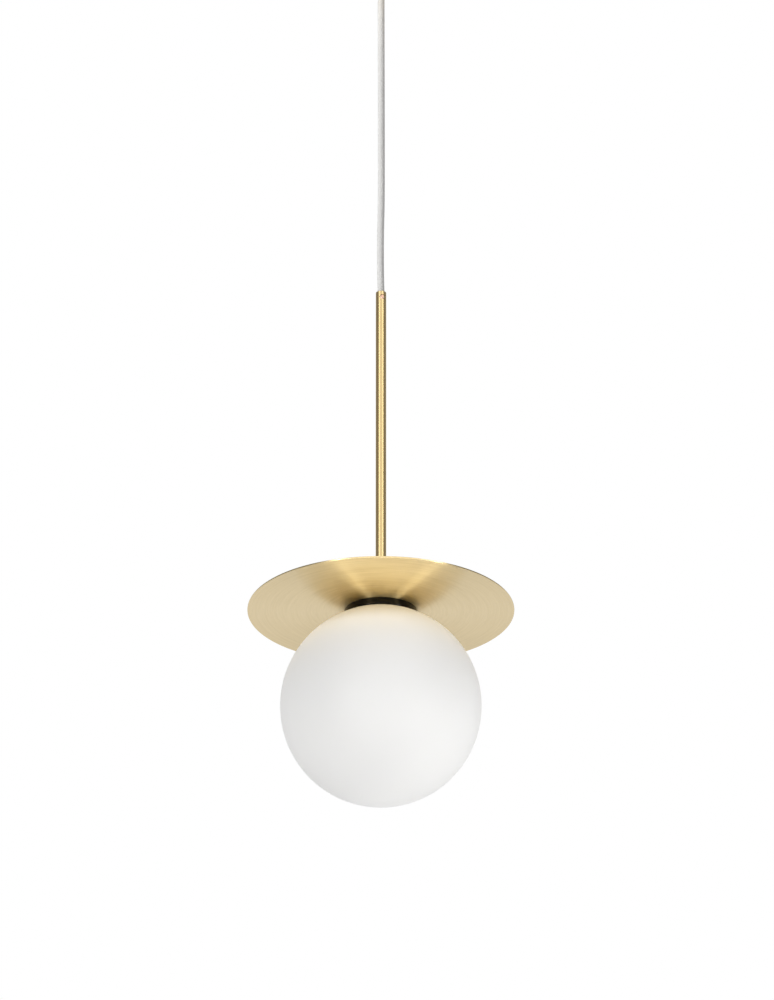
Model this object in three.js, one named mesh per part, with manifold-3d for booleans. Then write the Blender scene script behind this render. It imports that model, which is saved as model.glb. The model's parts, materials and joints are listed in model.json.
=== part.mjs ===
// Pendant ceiling light: a flat brass disc on a thin brass stem, with an opal glass globe screwed
// in under it, hung by a textile cord from a ceiling cup.
// All lengths are millimetres. The ceiling is the plane z = 0 and the lamp hangs below it.
import * as THREE from "three";
import { mergeVertices } from "three/addons/utils/BufferGeometryUtils.js";
import Module from "manifold-3d";

const wasm = await Module();
wasm.setup();

// ---- Driving dimensions ----
const DISC_DIAMETER = 200;
const DISC_THICKNESS = 1;
const GLOBE_DIAMETER = 150;
const GLOBE_HEIGHT = 151.6;
const GLASS_THICKNESS = 3;
const GLASS_MOUTH_DIAMETER = 33;
const CROWN_GAP = 0.9;
const CAP_DIAMETER = 58;
const CAP_TOP_DIAMETER = 55;
const GASKET_DIAMETER = 39.4;
const STEM_DIAMETER = 8;
const STEM_ABOVE_DISC = 265.8;
const CORD_DIAMETER = 5.4;
const CORD_DROP = 268.6;
const CUP_DIAMETER = 100;
const CUP_HEIGHT = 26;
const CUP_WALL = 1;
const GRIP_DIAMETER = 13;
const GRIP_LENGTH = 15;
const STRAP_LENGTH = 93;
const STRAP_WIDTH = 18;
const STRAP_THICKNESS = 1.6;
const BULB_DIAMETER = 16;
const THREAD_PITCH = 4;

// ---- Clearances and details shared by several pieces ----
const FACE_GAP = 0.15;
const HOLE_CLEARANCE = 0.3;
const THREAD_STEP = THREAD_PITCH / 8;
const THREAD_DEPTH = 0.6;
const THREAD_CLEARANCE = 0.5;
const APRON_CLEARANCE = 0.45;
const SKIRT_WALL = 2.5;
const SKIRT_LENGTH = 10;
const FLANGE_THICKNESS = 2.7;
const GASKET_THICKNESS = 0.6;
const SET_SCREW_DIAMETER = 4;
const SET_SCREW_TURN = 13.5;
const SET_SCREW_DROP = 5;
const CONDUCTOR_DIAMETER = 1.6;
const SMALL_SCREW_RADIUS = 1.5;
const WASHER_THICKNESS = 0.8;
const STEM_BORE_CLEARANCE = 0.5;

// ---- Heights worked out from the dimensions above ----
const CORD_RADIUS = CORD_DIAMETER / 2;
const STEM_RADIUS = STEM_DIAMETER / 2;
const STEM_BORE_RADIUS = CORD_RADIUS + STEM_BORE_CLEARANCE;
const STEM_HOLE_RADIUS = STEM_RADIUS + FACE_GAP;
const CUP_TOP = -0.5;
const CUP_BOTTOM = CUP_TOP - CUP_HEIGHT;
const GRIP_MOUTH = CUP_BOTTOM - GRIP_LENGTH;
const STEM_TOP = GRIP_MOUTH - CORD_DROP;
const DISC_TOP = STEM_TOP - STEM_ABOVE_DISC + DISC_THICKNESS;
const DISC_UNDERSIDE = DISC_TOP - DISC_THICKNESS;
const FLANGE_TOP = DISC_UNDERSIDE - FACE_GAP;
const FLANGE_BOTTOM = FLANGE_TOP - FLANGE_THICKNESS;
const GASKET_TOP = FLANGE_BOTTOM - FACE_GAP;
const GLASS_LIP = GASKET_TOP - GASKET_THICKNESS - FACE_GAP;
const GLOBE_CENTRE = DISC_UNDERSIDE - CROWN_GAP - GLOBE_HEIGHT / 2;
const LIP_SHARE = (GLASS_LIP - GLOBE_CENTRE) / (GLOBE_HEIGHT / 2);
const GLASS_LIP_RADIUS = (GLOBE_DIAMETER / 2) * Math.sqrt(1 - LIP_SHARE ** 2);
const SKIRT_RADIUS = GLASS_MOUTH_DIAMETER / 2 - THREAD_CLEARANCE - THREAD_DEPTH;
const SKIRT_BORE_RADIUS = SKIRT_RADIUS - SKIRT_WALL;
const FRONT_SWING_PIVOT = GRIP_MOUTH - FACE_GAP * 2 - CORD_RADIUS;
const CORD_TOP_LENGTH = 15.7;
const CORD_TOP_END = GRIP_MOUTH - FACE_GAP * 2 - CORD_TOP_LENGTH;
const SIDE_SWING_PIVOT = CORD_TOP_END - HOLE_CLEARANCE - CORD_RADIUS;

// ---- Colours ----
const FINISH = {
  brass: { color: 0xc9a45c, roughness: 0.35, metalness: 1 },
  brightBrass: { color: 0xd2b06a, roughness: 0.3, metalness: 1 },
  steel: { color: 0xb9bcc0, roughness: 0.4, metalness: 1 },
  opal: { color: 0xf3f1ec, roughness: 0.35, metalness: 0 },
  black: { color: 0x111112, roughness: 0.25, metalness: 0 },
  rubber: { color: 0x1b1b1c, roughness: 0.8, metalness: 0 },
  braid: { color: 0xe6e4df, roughness: 0.95, metalness: 0 },
  ceramic: { color: 0xefece4, roughness: 0.5, metalness: 0 },
  block: { color: 0xe9e7e0, roughness: 0.5, metalness: 0 },
  frosted: { color: 0xf6f4ee, roughness: 0.45, metalness: 0 },
  brown: { color: 0x6b4226, roughness: 0.5, metalness: 0 },
  blue: { color: 0x2d5fa8, roughness: 0.5, metalness: 0 },
  earth: { color: 0x8aa83a, roughness: 0.5, metalness: 0 },
};

const lamp = new THREE.Group();
lamp.name = "pendant_light";

function add(name, geometry, finish) {
  const material = new THREE.MeshStandardMaterial(FINISH[finish]);
  const mesh = new THREE.Mesh(geometry, material);
  mesh.name = name;
  lamp.add(mesh);
}

// ---- Solid modelling helpers ----
function toSolid(geometry) {
  const bare = geometry.clone();
  bare.deleteAttribute("normal");
  bare.deleteAttribute("uv");
  const merged = mergeVertices(bare, 1e-4);
  const mesh = new wasm.Mesh({
    numProp: 3,
    vertProperties: new Float32Array(merged.attributes.position.array),
    triVerts: new Uint32Array(merged.index.array),
  });
  return new wasm.Manifold(mesh);
}

function toGeometry(solid) {
  const mesh = solid.getMesh();
  const geometry = new THREE.BufferGeometry();
  geometry.setAttribute("position", new THREE.BufferAttribute(mesh.vertProperties, 3));
  geometry.setIndex(new THREE.BufferAttribute(mesh.triVerts, 1));
  geometry.computeVertexNormals();
  return geometry;
}

function cut(geometry, ...tools) {
  let solid = toSolid(geometry);
  for (const tool of tools) solid = solid.subtract(toSolid(tool));
  return toGeometry(solid);
}

function join(geometry, ...others) {
  let solid = toSolid(geometry);
  for (const other of others) solid = solid.add(toSolid(other));
  return toGeometry(solid);
}

// Turns an outline of [radius, height] points, listed anticlockwise, about the vertical axis.
function turned(outline, sides = 32) {
  const points = outline.map(([radius, height]) => new THREE.Vector2(radius, height));
  return new THREE.LatheGeometry(points, sides).rotateX(Math.PI / 2);
}

function ring(inner, outer, bottom, top, sides = 32) {
  const outline = [[inner, bottom], [outer, bottom], [outer, top], [inner, top], [inner, bottom]];
  return turned(outline, sides);
}

function rod(radius, bottom, top, sides = 24) {
  return turned([[0, bottom], [radius, bottom], [radius, top], [0, top]], sides);
}

// Points of an arc in an outline, from one angle to another, in degrees.
function arc(centre, radii, from, to, steps) {
  const points = [];
  for (let i = 0; i <= steps; i++) {
    const angle = THREE.MathUtils.degToRad(from + ((to - from) * i) / steps);
    points.push([centre[0] + radii[0] * Math.cos(angle), centre[1] + radii[1] * Math.sin(angle)]);
  }
  return points;
}

function box(low, high) {
  const size = high.map((value, i) => value - low[i]);
  const middle = high.map((value, i) => (value + low[i]) / 2);
  return new THREE.BoxGeometry(...size).translate(...middle);
}

function prism(acrossFlats, bottom, top) {
  const corner = acrossFlats / Math.sqrt(3);
  const hexagon = new THREE.CylinderGeometry(corner, corner, top - bottom, 6);
  return hexagon.rotateX(Math.PI / 2).translate(0, 0, (top + bottom) / 2);
}

// A round tube along a route of [x, y, z] points.
function swept(route, radius, steps, sides = 8) {
  const path = new THREE.CatmullRomCurve3(route.map((point) => new THREE.Vector3(...point)));
  const section = new THREE.Shape();
  section.absarc(0, 0, radius, 0, Math.PI * 2, false);
  const options = { steps, extrudePath: path, curveSegments: sides / 2, bevelEnabled: false };
  return new THREE.ExtrudeGeometry(section, options);
}

// Cuts a right-handed round thread into a wall: side 1 raises it outwards, side -1 inwards.
// Both sides use one wave, so mating walls keep an even clearance as one is screwed along the other.
function threaded(geometry, wallRadius, bottom, top, side) {
  const position = geometry.attributes.position;
  const fade = THREAD_PITCH / 4;
  for (let i = 0; i < position.count; i++) {
    const [x, y, z] = [position.getX(i), position.getY(i), position.getZ(i)];
    const radius = Math.hypot(x, y);
    const depth = Math.min(z - bottom, top - z);
    if (depth <= 0 || Math.abs(radius - wallRadius) > 0.01) continue;
    const strength = Math.min(1, depth / fade);
    const turn = (2 * Math.PI * (z - GLASS_LIP)) / THREAD_PITCH - Math.atan2(y, x);
    const raised = (strength * THREAD_DEPTH * (Math.cos(turn) + side)) / 2;
    position.setXY(i, x * (1 + raised / radius), y * (1 + raised / radius));
  }
  return geometry;
}

// Heights from one level to another in even steps, both ends included.
function levels(from, to, step) {
  const count = Math.round(Math.abs(to - from) / step);
  return Array.from({ length: count + 1 }, (_, i) => from + ((to - from) * i) / count);
}

// Turns a vertical piece so that it lies along a direction in the horizontal plane, and moves it.
function laid(geometry, degrees, position) {
  const turn = THREE.MathUtils.degToRad(degrees);
  return geometry.rotateY(Math.PI / 2).rotateZ(turn).translate(...position);
}

// ---- Screws ----
// A headless screw that points inwards from the surface of a round body.
function setScrew(bodyRadius, tipRadius) {
  const radius = SET_SCREW_DIAMETER / 2 - FACE_GAP;
  const outer = bodyRadius - 0.1;
  const edge = 0.35;
  const outline = [
    [0, tipRadius], [radius, tipRadius], [radius, outer - edge], [radius - edge, outer], [0, outer],
  ];
  const socket = prism(2, tipRadius + 0.5, outer + 1);
  return cut(turned(outline, 20), socket);
}

function setScrewHole(outer) {
  return rod(SET_SCREW_DIAMETER / 2, 0, outer + 1, 20);
}

// Lays something made along the vertical axis so that it points to the front, a little to the right.
function aimed(geometry, height) {
  return laid(geometry, SET_SCREW_TURN - 90, [0, 0, height]);
}

// A pan-head screw along the vertical axis, head down, with a slot.
function panScrew(shankRadius, headRadius, headHeight, length) {
  const dome = arc([0, 0], [headRadius, -headHeight], 0, 90, 4).reverse();
  const body = turned([...dome, [shankRadius, 0], [shankRadius, length], [0, length]], 16);
  const slot = box([-headRadius, -0.4, -headHeight - 1], [headRadius, 0.4, -headHeight * 0.45]);
  return cut(body, slot);
}

// ---- Ceiling fitting ----
const EAR_DROP = 12;
const SIDE_SCREW_HEIGHT = -7;
const SIDE_SCREW_RADIUS = 1.9;
const BLOCK_CENTRE = 16;
const BLOCK_DEPTH = 16;
const POLE_SPACING = 9;
const BLOCK_TOP = -STRAP_THICKNESS - FACE_GAP;
const BLOCK_HEIGHT = 12;
const BARREL_HEIGHT = BLOCK_TOP - BLOCK_HEIGHT / 2;
const BLOCK_SCREW_X = -POLE_SPACING / 2;
const BLOCK_LENGTH = POLE_SPACING * 3 + 1;
const CLAMP_SPACING = 4;
const SLOT_OFFSET = 30;
const CUP_BEND = 8;
const GRIP_NECK_RADIUS = GRIP_DIAMETER / 2 - 1.5;
const GRIP_NECK_TOP = CUP_BOTTOM + 9.5;
const GRIP_SHOULDER = { width: 2, height: 2 };
const GRIP_NUT_HEIGHT = 3.2;
const GRIP_WASHER_BOTTOM = CUP_BOTTOM + CUP_WALL + FACE_GAP;
const CORD_TAIL_TOP = CUP_BOTTOM + 11;
const BARREL_RADIUS = 2.3;
const BARREL_BORE_RADIUS = 1.4;
const CLAMP_SCREW_RADIUS = 1.3;
const CLAMP_SCREW_LENGTH = 3.6;
const POLES = ["live", "earth", "neutral"].map((name, i) => ({ name, x: (i - 1) * POLE_SPACING }));

function mountingBracket() {
  const half = STRAP_LENGTH / 2;
  const halfWidth = STRAP_WIDTH / 2;
  const strap = box([-half, -halfWidth, -STRAP_THICKNESS], [half, halfWidth, 0]);
  const tabEnd = BLOCK_CENTRE + BLOCK_DEPTH / 2 + 1;
  const tab = box([-BLOCK_LENGTH / 2, 0, -STRAP_THICKNESS], [BLOCK_LENGTH / 2, tabEnd, 0]);
  const ears = [-1, 1].map((side) => {
    const inner = side * (half - STRAP_THICKNESS);
    const low = Math.min(inner, side * half);
    const high = Math.max(inner, side * half);
    return box([low, -halfWidth, -EAR_DROP], [high, halfWidth, -STRAP_THICKNESS / 2]);
  });
  const screwHoles = rod(SIDE_SCREW_RADIUS + HOLE_CLEARANCE, -half - 5, half + 5, 16)
    .rotateY(Math.PI / 2).translate(0, 0, SIDE_SCREW_HEIGHT);
  const slots = [-1, 1].map((side) => ceilingSlot(side * SLOT_OFFSET));
  const blockHole = rod(SMALL_SCREW_RADIUS + HOLE_CLEARANCE, -5, 5, 12)
    .translate(BLOCK_SCREW_X, BLOCK_CENTRE, 0);
  return cut(join(strap, tab, ...ears), screwHoles, ...slots, blockHole);
}

function ceilingSlot(x) {
  const radius = 2.3;
  const travel = 3.5;
  const ends = [-travel, travel].map((offset) => rod(radius, -5, 5, 16).translate(x, offset, 0));
  const middle = box([x - radius, -travel, -5], [x + radius, travel, 5]);
  return join(middle, ...ends);
}

function ceilingCup() {
  const radius = CUP_DIAMETER / 2;
  const bore = GRIP_NECK_RADIUS + HOLE_CLEARANCE;
  const bendCentre = [radius - CUP_BEND, CUP_BOTTOM + CUP_BEND];
  const outside = arc(bendCentre, [CUP_BEND, CUP_BEND], -90, 0, 4);
  const inner = CUP_BEND - CUP_WALL;
  const inside = arc(bendCentre, [inner, inner], 0, -90, 4);
  const outline = [
    [bore, CUP_BOTTOM], ...outside, [radius, CUP_TOP], [radius - CUP_WALL, CUP_TOP], ...inside,
    [bore, CUP_BOTTOM + CUP_WALL], [bore, CUP_BOTTOM],
  ];
  const screwHoles = rod(SIDE_SCREW_RADIUS + HOLE_CLEARANCE, -radius - 5, radius + 5, 16)
    .rotateY(Math.PI / 2).translate(0, 0, SIDE_SCREW_HEIGHT);
  return cut(turned(outline, 48), screwHoles);
}

function cupScrew(side) {
  const screw = panScrew(SIDE_SCREW_RADIUS, 3.6, 2.4, 9).rotateY(side > 0 ? -Math.PI / 2 : Math.PI / 2);
  return screw.translate(side * (CUP_DIAMETER / 2 + FACE_GAP), 0, SIDE_SCREW_HEIGHT);
}

// The cord grip: a round body below the cup, with a threaded neck up through the cup's floor.
function gripBody() {
  const radius = GRIP_DIAMETER / 2;
  const bore = CORD_RADIUS + HOLE_CLEARANCE;
  const shoulder = CUP_BOTTOM - FACE_GAP;
  const flare = 0.8;
  const outline = [
    [bore + flare, GRIP_MOUTH], ...arc([radius - 1, GRIP_MOUTH + 1], [1, 1], -90, 0, 3),
    [radius, shoulder - GRIP_SHOULDER.height],
    [radius + GRIP_SHOULDER.width, shoulder - GRIP_SHOULDER.height],
    [radius + GRIP_SHOULDER.width, shoulder], [GRIP_NECK_RADIUS, shoulder],
    [GRIP_NECK_RADIUS, GRIP_NECK_TOP], [bore, GRIP_NECK_TOP], [bore, GRIP_MOUTH + flare],
    [bore + flare, GRIP_MOUTH],
  ];
  return cut(turned(outline, 32), aimed(setScrewHole(radius), GRIP_MOUTH + SET_SCREW_DROP));
}

function gripWasher() {
  const top = GRIP_WASHER_BOTTOM + WASHER_THICKNESS;
  return ring(GRIP_NECK_RADIUS + HOLE_CLEARANCE, GRIP_NECK_RADIUS + 4, GRIP_WASHER_BOTTOM, top, 32);
}

function gripNut() {
  const bottom = GRIP_WASHER_BOTTOM + WASHER_THICKNESS + FACE_GAP;
  const top = bottom + GRIP_NUT_HEIGHT;
  const hole = rod(GRIP_NECK_RADIUS + FACE_GAP, bottom - 1, top + 1, 24);
  return cut(prism(GRIP_NECK_RADIUS * 2 + 4, bottom, top), hole);
}

function terminalBlock() {
  const bottom = BLOCK_TOP - BLOCK_HEIGHT;
  const halfDepth = BLOCK_DEPTH / 2;
  const low = [-BLOCK_LENGTH / 2, BLOCK_CENTRE - halfDepth, bottom];
  const high = [BLOCK_LENGTH / 2, BLOCK_CENTRE + halfDepth, BLOCK_TOP];
  const channels = POLES.map(({ x }) => poleCylinder(x, BARREL_RADIUS + FACE_GAP, halfDepth + 1));
  const accesses = POLES.flatMap(({ x }) => [-CLAMP_SPACING, CLAMP_SPACING].map((offset) => {
    return rod(1.9, bottom - 1, BARREL_HEIGHT, 12).translate(x, BLOCK_CENTRE + offset, 0);
  }));
  const fixing = rod(SMALL_SCREW_RADIUS + HOLE_CLEARANCE, bottom - 1, 1, 12)
    .translate(BLOCK_SCREW_X, BLOCK_CENTRE, 0);
  return cut(box(low, high), ...channels, ...accesses, fixing);
}

// A cylinder that lies through the block, front to back, at one pole.
function poleCylinder(x, radius, half) {
  return rod(radius, -half, half, 12).rotateX(Math.PI / 2).translate(x, BLOCK_CENTRE, BARREL_HEIGHT);
}

function terminalBarrel(x) {
  const screwHoles = [-CLAMP_SPACING, CLAMP_SPACING].map((offset) => {
    return rod(CLAMP_SCREW_RADIUS + FACE_GAP, BARREL_HEIGHT - BARREL_RADIUS - 1, BARREL_HEIGHT, 12)
      .translate(x, BLOCK_CENTRE + offset, 0);
  });
  const barrel = poleCylinder(x, BARREL_RADIUS, BLOCK_DEPTH / 2 - 1);
  return cut(barrel, poleCylinder(x, BARREL_BORE_RADIUS, BLOCK_DEPTH), ...screwHoles);
}

function clampScrew(x, offset) {
  const tip = BARREL_HEIGHT - CONDUCTOR_DIAMETER / 2 - FACE_GAP;
  const screw = rod(CLAMP_SCREW_RADIUS, tip - CLAMP_SCREW_LENGTH, tip, 12);
  const slotTop = tip - CLAMP_SCREW_LENGTH + 0.6;
  const slotReach = CLAMP_SCREW_RADIUS + 0.3;
  const slot = box([-slotReach, -0.25, slotTop - 1], [slotReach, 0.25, slotTop]);
  return cut(screw, slot).translate(x, BLOCK_CENTRE + offset, 0);
}

function blockScrew() {
  const bottom = BLOCK_TOP - BLOCK_HEIGHT - FACE_GAP;
  const screw = panScrew(SMALL_SCREW_RADIUS, 2.8, 1.8, -bottom - HOLE_CLEARANCE);
  return screw.translate(BLOCK_SCREW_X, BLOCK_CENTRE, bottom);
}

// A conductor from the cord's upper end into its terminal.
function supplyWire(x, start) {
  const front = BLOCK_CENTRE - BLOCK_DEPTH / 2;
  const route = [
    [start[0], start[1], CORD_TAIL_TOP + HOLE_CLEARANCE], [start[0], start[1], CORD_TAIL_TOP + 1.5],
    [start[0] * 1.5, start[1] + 0.3, CORD_TAIL_TOP + 3.5],
    [x * 0.7, 3.5, BARREL_HEIGHT - 0.9], [x, front - 1, BARREL_HEIGHT],
    [x, front + 1.5, BARREL_HEIGHT], [x, front + 5, BARREL_HEIGHT],
  ];
  return swept(route, CONDUCTOR_DIAMETER / 2, 18);
}

function ceilingFitting() {
  add("mounting_bracket", mountingBracket(), "steel");
  add("ceiling_cup", ceilingCup(), "brass");
  add("cup_screw_left", cupScrew(-1), "brightBrass");
  add("cup_screw_right", cupScrew(1), "brightBrass");
  add("grip_body", gripBody(), "brass");
  add("grip_washer", gripWasher(), "steel");
  add("grip_nut", gripNut(), "steel");
  const gripScrew = setScrew(GRIP_DIAMETER / 2, CORD_RADIUS + FACE_GAP);
  add("grip_screw", aimed(gripScrew, GRIP_MOUTH + SET_SCREW_DROP), "brightBrass");
  add("terminal_block", terminalBlock(), "block");
  for (const { name, x } of POLES) {
    add(`terminal_${name}`, terminalBarrel(x), "brightBrass");
    add(`clamp_screw_${name}_cord`, clampScrew(x, -CLAMP_SPACING), "steel");
    add(`clamp_screw_${name}_supply`, clampScrew(x, CLAMP_SPACING), "steel");
  }
  add("terminal_block_screw", blockScrew(), "steel");
  add("supply_wire_live", supplyWire(POLES[0].x, [-1.3, -0.5]), "brown");
  add("supply_wire_earth", supplyWire(POLES[1].x, [0, 1.2]), "earth");
  add("supply_wire_neutral", supplyWire(POLES[2].x, [1.3, -0.5]), "blue");
}

// ---- Cord ----
// The hanging cord is nearly straight, with the slight bends a cord keeps from being coiled.
// Each point is [height above the stem's mouth, sideways offset].
const CORD_ROUTE = [
  [0, 0], [8, -0.2], [16, -0.36], [26, -0.45], [38, -0.46], [50, -0.38], [60, -0.2], [70, 0.02],
  [80, 0.15], [92, 0.2], [110, 0.21], [130, 0.2], [150, 0.18], [175, 0.14], [200, 0.08], [225, 0.03],
  [245, 0], [265.6, 0],
];

function sideways(z) {
  const height = z - STEM_TOP;
  const next = CORD_ROUTE.findIndex(([level]) => level >= height);
  if (next <= 0) return 0;
  const [low, high] = [CORD_ROUTE[next - 1], CORD_ROUTE[next]];
  return THREE.MathUtils.mapLinear(height, low[0], high[0], low[1], high[1]);
}

function hangingCord(bottom, top, sides = 12) {
  const cap = top - CORD_RADIUS;
  const wall = levels(bottom, cap, 12).map((z) => [CORD_RADIUS, z]);
  const dome = arc([0, cap], [CORD_RADIUS, CORD_RADIUS], 0, 90, 4).slice(1);
  dome[dome.length - 1][0] = 0;
  const geometry = turned([[0, bottom], ...wall, ...dome], sides);
  const position = geometry.attributes.position;
  for (let i = 0; i < position.count; i++) {
    position.setX(i, position.getX(i) + sideways(position.getZ(i)));
  }
  return geometry;
}

function cords() {
  add("cord_tail", rod(CORD_RADIUS, GRIP_MOUTH, CORD_TAIL_TOP, 12), "braid");
  add("cord_top", hangingCord(CORD_TOP_END, FRONT_SWING_PIVOT + CORD_RADIUS), "braid");
  add("cord", hangingCord(STEM_TOP + HOLE_CLEARANCE, SIDE_SWING_PIVOT + CORD_RADIUS), "braid");
  add("cord_in_stem", rod(CORD_RADIUS, CORD_END, STEM_TOP, 12), "braid");
}

// ---- Stem and disc ----
const COLLAR_HEIGHT = 5;
const PLATE_THICKNESS = 1;
const NUT_HEIGHT = 4;
const WASHER_TOP = FLANGE_BOTTOM - FACE_GAP;
const PLATE_TOP = WASHER_TOP - WASHER_THICKNESS - FACE_GAP;
const TAG_TOP = PLATE_TOP - PLATE_THICKNESS - FACE_GAP;
const TAG_THICKNESS = 0.5;
const TAG_REACH = SKIRT_BORE_RADIUS - 2.9;
const TAG_DROP = 3.5;
const NUT_TOP = TAG_TOP - TAG_THICKNESS - FACE_GAP;
const STEM_END = NUT_TOP - NUT_HEIGHT - 1;
const CORD_END = STEM_END - 2;
const NUT_FLATS = STEM_DIAMETER + 5;

function stem() {
  const tube = ring(STEM_BORE_RADIUS, STEM_RADIUS, STEM_END, STEM_TOP, 32);
  return cut(tube, aimed(setScrewHole(STEM_RADIUS), STEM_TOP - SET_SCREW_DROP));
}

// The round nut that clamps the disc from above, knurled with shallow flutes.
function discNut() {
  const bottom = DISC_TOP + FACE_GAP;
  const top = bottom + COLLAR_HEIGHT;
  const radius = STEM_RADIUS + 3;
  const edge = 0.8;
  const outline = [
    [STEM_HOLE_RADIUS, bottom], [radius, bottom], [radius, top - edge], [radius - edge, top],
    [STEM_HOLE_RADIUS, top], [STEM_HOLE_RADIUS, bottom],
  ];
  const count = 12;
  const flutes = Array.from({ length: count }, (_, i) => {
    const turn = (Math.PI * 2 * i) / count;
    return rod(0.5, bottom - 1, top + 1, 6).translate(Math.cos(turn) * radius, Math.sin(turn) * radius, 0);
  });
  return cut(turned(outline, 24), ...flutes);
}

function disc() {
  const radius = DISC_DIAMETER / 2;
  const edge = DISC_THICKNESS / 4;
  const outline = [
    [STEM_HOLE_RADIUS, DISC_UNDERSIDE], [radius - edge, DISC_UNDERSIDE], [radius, DISC_UNDERSIDE + edge],
    [radius, DISC_TOP - edge], [radius - edge, DISC_TOP], [STEM_HOLE_RADIUS, DISC_TOP],
    [STEM_HOLE_RADIUS, DISC_UNDERSIDE],
  ];
  return turned(outline, 72);
}

function stemAndDisc() {
  add("stem", stem(), "brass");
  const screw = setScrew(STEM_RADIUS, CORD_RADIUS + FACE_GAP);
  add("stem_screw", aimed(screw, STEM_TOP - SET_SCREW_DROP), "brightBrass");
  add("disc_nut", discNut(), "brass");
  add("disc", disc(), "brass");
}

// ---- Lampholder ----
const HOLDER_RADIUS = SKIRT_BORE_RADIUS - 1.4;
const HOLDER_HEIGHT = 15;
const LEG_OFFSET = SKIRT_BORE_RADIUS - 2.1;
const LEG_HALF_WIDTH = 4;
const FOOT_REACH = 5;
const HOLDER_SCREW_OFFSET = HOLDER_RADIUS - 3.5;
const COUNTERBORE_DEPTH = 3;
const PIN_OFFSET = 4.5;
const PIN_WIRE = 0.8;
const PIN_DEPTH = 9;
const FOOT_TOP = STEM_END - 6;
const HOLDER_TOP = FOOT_TOP - PLATE_THICKNESS - FACE_GAP;
const HOLDER_BOTTOM = HOLDER_TOP - HOLDER_HEIGHT;
const BULB_TOP = HOLDER_BOTTOM - FACE_GAP * 2;
const CONTACT_TOP = HOLDER_BOTTOM + PIN_DEPTH + 1.5;

// Height of the globe's outside at a radius, above its widest level.
function crownHeight(radius) {
  return GLOBE_CENTRE + (GLOBE_HEIGHT / 2) * Math.sqrt(1 - (radius / (GLOBE_DIAMETER / 2)) ** 2);
}

// The black cap: it flares from under the disc to an apron that follows the globe's crown, and its
// threaded skirt is what the globe screws on to.
function holderCap() {
  const skirtBottom = FLANGE_BOTTOM - SKIRT_LENGTH;
  const threadTop = FLANGE_BOTTOM - 0.8;
  const skirt = levels(threadTop, skirtBottom, THREAD_STEP).map((z) => [SKIRT_RADIUS, z]).reverse();
  const edge = 0.5;
  const beadRadius = CAP_DIAMETER / 2 - edge;
  const apron = levels(GLASS_LIP_RADIUS, beadRadius, 2.5).map((radius) => {
    return [radius, crownHeight(radius) + APRON_CLEARANCE];
  });
  const bead = [beadRadius, crownHeight(beadRadius) + APRON_CLEARANCE + edge];
  const outline = [
    [SKIRT_BORE_RADIUS, skirtBottom], ...skirt, [SKIRT_RADIUS, FLANGE_BOTTOM],
    [GLASS_LIP_RADIUS, FLANGE_BOTTOM], ...apron, ...arc(bead, [edge, edge], -60, 30, 3),
    [CAP_TOP_DIAMETER / 2, FLANGE_TOP], [STEM_HOLE_RADIUS, FLANGE_TOP], [STEM_HOLE_RADIUS, FLANGE_BOTTOM],
    [SKIRT_BORE_RADIUS, FLANGE_BOTTOM], [SKIRT_BORE_RADIUS, skirtBottom],
  ];
  return threaded(turned(outline, 36), SKIRT_RADIUS, skirtBottom, threadTop, 1);
}

function stemWasher() {
  return ring(STEM_HOLE_RADIUS, STEM_RADIUS + 3.6, WASHER_TOP - WASHER_THICKNESS, WASHER_TOP, 24);
}

// A steel plate under the washer, with two legs down to feet that the lampholder is screwed to.
function lampholderBracket() {
  const plateBottom = PLATE_TOP - PLATE_THICKNESS;
  const footBottom = FOOT_TOP - PLATE_THICKNESS;
  const legOutside = LEG_OFFSET + PLATE_THICKNESS;
  const plate = box([-LEG_HALF_WIDTH, -legOutside, plateBottom], [LEG_HALF_WIDTH, legOutside, PLATE_TOP]);
  const centre = rod(STEM_RADIUS + 4.5, plateBottom, PLATE_TOP, 24);
  const sides = [0, Math.PI].flatMap((turn) => [
    box([-LEG_HALF_WIDTH, LEG_OFFSET, footBottom], [LEG_HALF_WIDTH, legOutside, PLATE_TOP]).rotateZ(turn),
    box([-LEG_HALF_WIDTH, LEG_OFFSET - FOOT_REACH, footBottom], [LEG_HALF_WIDTH, legOutside, FOOT_TOP])
      .rotateZ(turn),
  ]);
  const centreHole = rod(STEM_HOLE_RADIUS, plateBottom - 1, PLATE_TOP + 1, 24);
  const screwHoles = [-1, 1].map((side) => {
    return rod(SMALL_SCREW_RADIUS + FACE_GAP, footBottom - 1, FOOT_TOP + 1, 12)
      .translate(0, side * HOLDER_SCREW_OFFSET, 0);
  });
  return cut(join(plate, centre, ...sides), centreHole, ...screwHoles);
}

// An earth tag under the plate: a ring round the stem with a tongue that is bent down to the wire.
function earthTag() {
  const bottom = TAG_TOP - TAG_THICKNESS;
  const washer = rod(STEM_RADIUS + 2.3, bottom, TAG_TOP, 20);
  const tongue = box([STEM_RADIUS + 1, -1.5, bottom], [TAG_REACH, 1.5, TAG_TOP]);
  const bent = box([TAG_REACH - TAG_THICKNESS, -1.5, bottom - TAG_DROP], [TAG_REACH, 1.5, TAG_TOP]);
  return cut(join(washer, tongue, bent), rod(STEM_HOLE_RADIUS, bottom - 1, TAG_TOP + 1, 20));
}

function hexNut() {
  const hole = rod(STEM_HOLE_RADIUS, NUT_TOP - NUT_HEIGHT - 1, NUT_TOP + 1, 24);
  return cut(prism(NUT_FLATS, NUT_TOP - NUT_HEIGHT, NUT_TOP), hole);
}

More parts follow.
